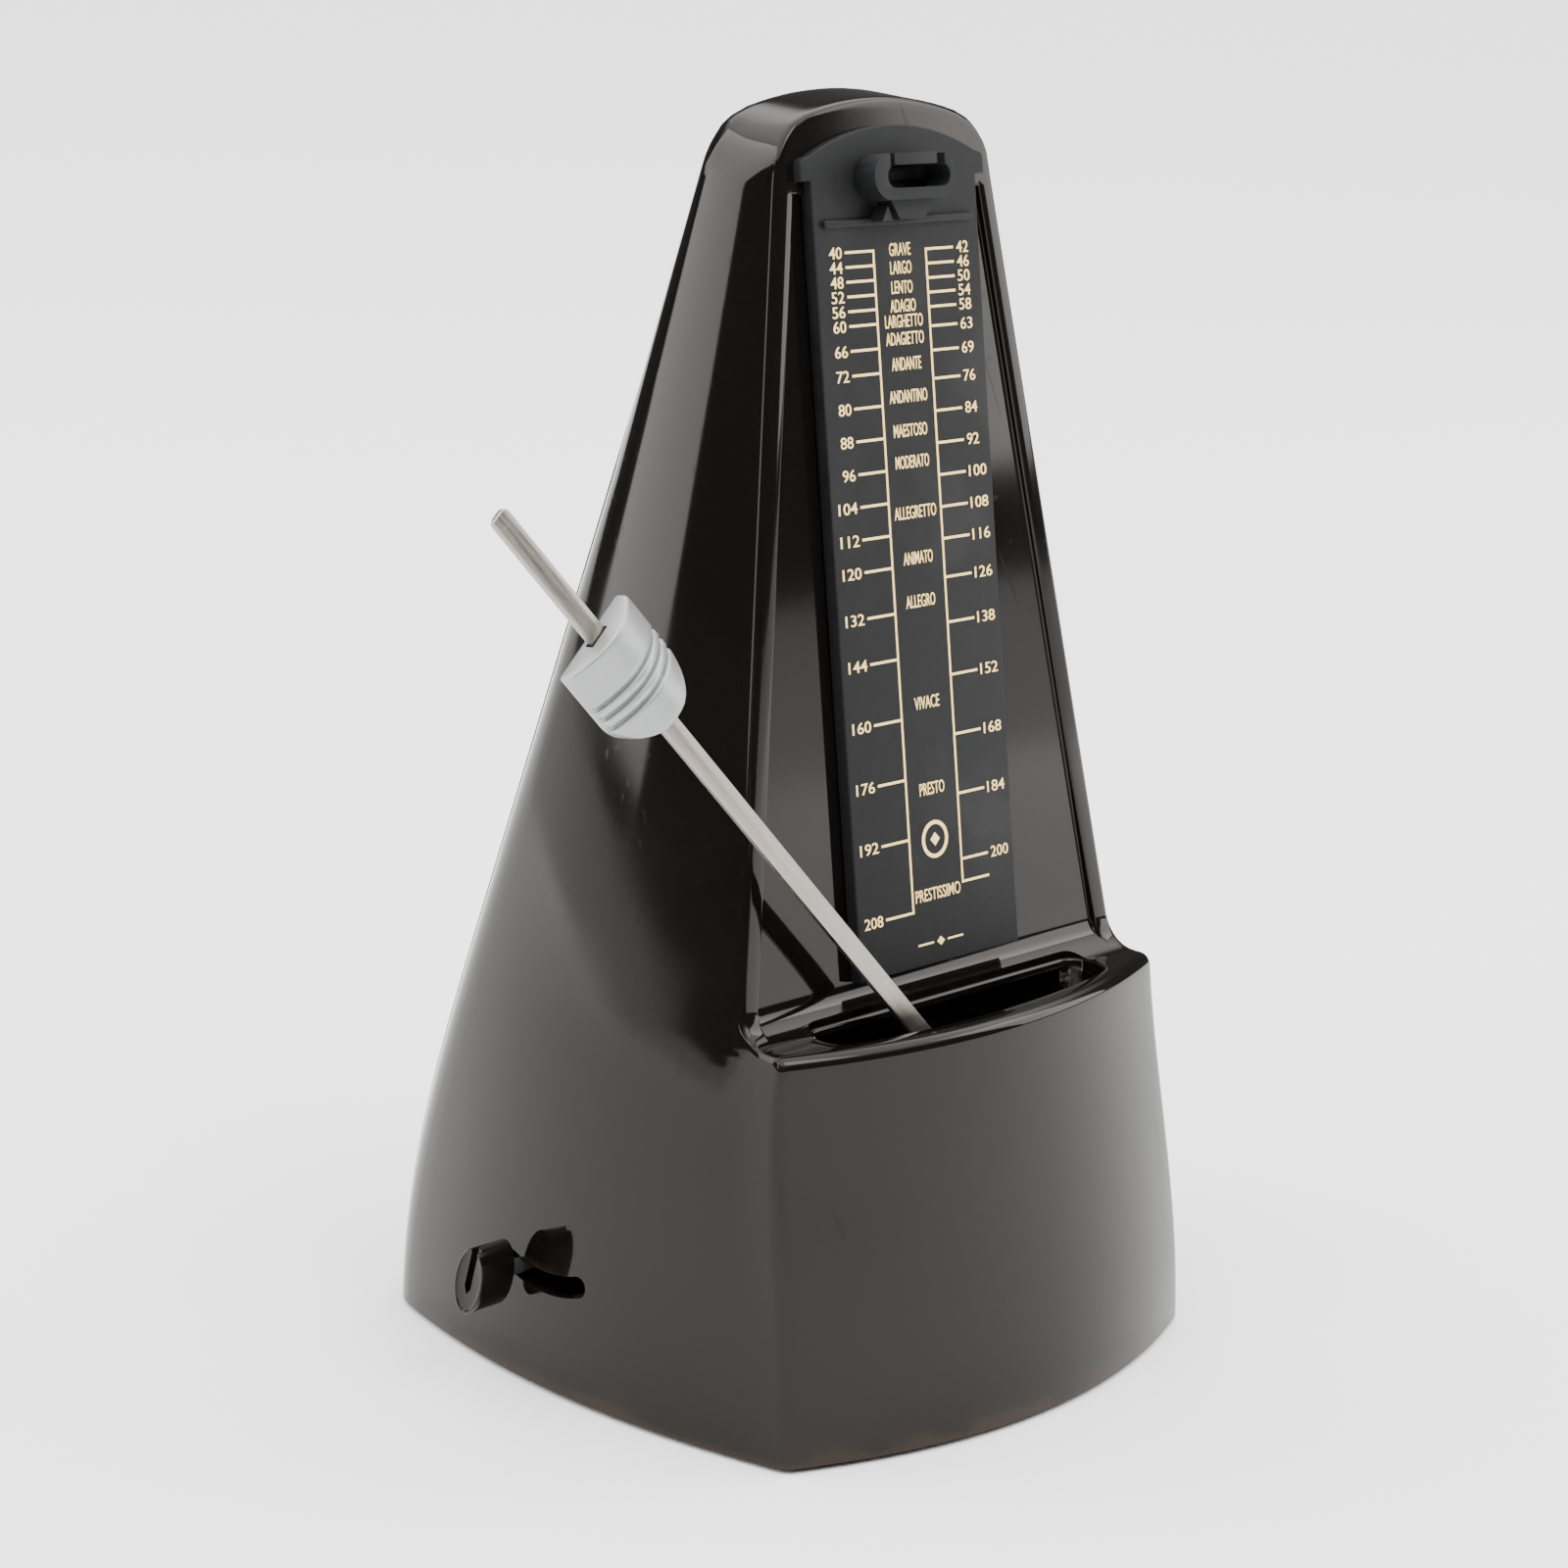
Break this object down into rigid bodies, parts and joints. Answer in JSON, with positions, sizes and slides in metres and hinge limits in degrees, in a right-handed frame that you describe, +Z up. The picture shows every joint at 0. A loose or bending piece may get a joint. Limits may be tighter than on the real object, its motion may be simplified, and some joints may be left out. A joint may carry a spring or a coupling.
{
  "type": "metronome",
  "caption": "Pyramid clockwork metronome in glossy smoky black plastic with an inclined tempo scale, a leaning steel pendulum rod with a sliding weight, a winding key and a beat selector knob.",
  "frame": {"origin": "on the floor, under the middle of the case's base", "axes": "+Z up; the scale and the pendulum face -Y; the winding key is on +X and the beat selector on -X"},
  "size_m": [0.1695, 0.116, 0.2098],
  "materials": {
    "smoky_case": "polished, smoky black with a faint brown depth",
    "matte_black": "fine spark-eroded texture, with raised cream-gold figures",
    "base_black": "plain moulded",
    "knob_black": "glossy black",
    "rubber": "matte",
    "rod_steel": "satin rolled strip",
    "turned_steel": "turned",
    "spring_steel": "blued",
    "brass": "stamped sheet, light tarnish",
    "nickel": "nickel plated",
    "cast_silver": "silver lacquer on a zinc casting, satin"
  },
  "bodies": {
    "case": {"case_shell": "smoky_case", "scale_plate": "matte_black", "base_plate": "base_black", "movement_plate_left": "brass", "movement_plate_right": "brass", "front_bridge": "brass", "rear_bridge": "brass", "click_screw": "turned_steel", "click_spring": "spring_steel", "selector_stud": "turned_steel", "bell": "nickel", "bell_post": "turned_steel", "hammer_stud": "turned_steel", "foot_front_left": "rubber", "base_screw_front_left": "turned_steel", "foot_front_right": "rubber", "base_screw_front_right": "turned_steel", "foot_rear_right": "rubber", "base_screw_rear_right": "turned_steel", "foot_rear_left": "rubber", "base_screw_rear_left": "turned_steel", "pillar_lower_front": "brass", "pillar_lower_rear": "brass", "pillar_upper_rear": "brass", "pillar_upper_front": "brass"},
    "barrel": {"great_wheel": "brass", "spring_barrel": "brass", "barrel_lid": "brass", "mainspring": "spring_steel"},
    "key": {"winding_key": "nickel", "barrel_arbor": "turned_steel", "ratchet_wheel": "turned_steel"},
    "click": {"click": "turned_steel"},
    "third": {"third_arbor": "turned_steel", "third_pinion": "turned_steel", "third_wheel": "brass", "beat_cam": "brass"},
    "escape": {"escape_arbor": "turned_steel", "escape_pinion": "turned_steel", "escape_wheel": "brass"},
    "pendulum": {"pendulum_rod": "rod_steel", "lower_bob": "brass", "pallet_arbor": "turned_steel", "pallets": "turned_steel"},
    "weight": {"sliding_weight": "cast_silver"},
    "selector": {"selector_lever": "base_black", "selector_knob": "knob_black"},
    "hammer": {"bell_hammer": "turned_steel"}
  },
  "joints": [
    {"name": "pendulum_swing", "type": "hinge", "parent": "case", "child": "pendulum", "pos_m": [0, -0.0407, 0.05], "axis": [0, 0.9903, -0.1392], "range_deg": [0, 82.8]},
    {"name": "weight_slide", "type": "slide", "parent": "pendulum", "child": "weight", "axis": [-0.6613, 0.1044, 0.7428], "range_m": [-0.0869, 0.0225]},
    {"name": "barrel_turn", "type": "hinge", "parent": "case", "child": "barrel", "pos_m": [0, 0.008, 0.036], "axis": [1, 0, 0], "continuous": true},
    {"name": "third_turn", "type": "hinge", "parent": "case", "child": "third", "pos_m": [0, -0.01438, 0.0241], "axis": [1, 0, 0], "continuous": true},
    {"name": "escape_turn", "type": "hinge", "parent": "case", "child": "escape", "pos_m": [0, -0.02637, 0.03608], "axis": [1, 0, 0], "continuous": true},
    {"name": "key_turn", "type": "hinge", "parent": "case", "child": "key", "pos_m": [0, 0.008, 0.036], "axis": [-1, 0, 0], "continuous": true},
    {"name": "click_lift", "type": "hinge", "parent": "case", "child": "click", "pos_m": [0, 0.0185, 0.0445], "axis": [-1, 0, 0], "range_deg": [0, 4]},
    {"name": "selector_swing", "type": "hinge", "parent": "case", "child": "selector", "pos_m": [0, 0.0018, 0.0428], "axis": [-1, 0, 0], "range_deg": [0, 30.6]},
    {"name": "hammer_strike", "type": "hinge", "parent": "case", "child": "hammer", "pos_m": [0, -0.004, 0.016], "axis": [1, 0, 0], "range_deg": [0, 10]}
  ],
  "couplings": [
    {"joint": "third_turn", "follows": "barrel_turn", "ratio": -6},
    {"joint": "escape_turn", "follows": "barrel_turn", "ratio": 30}
  ]
}
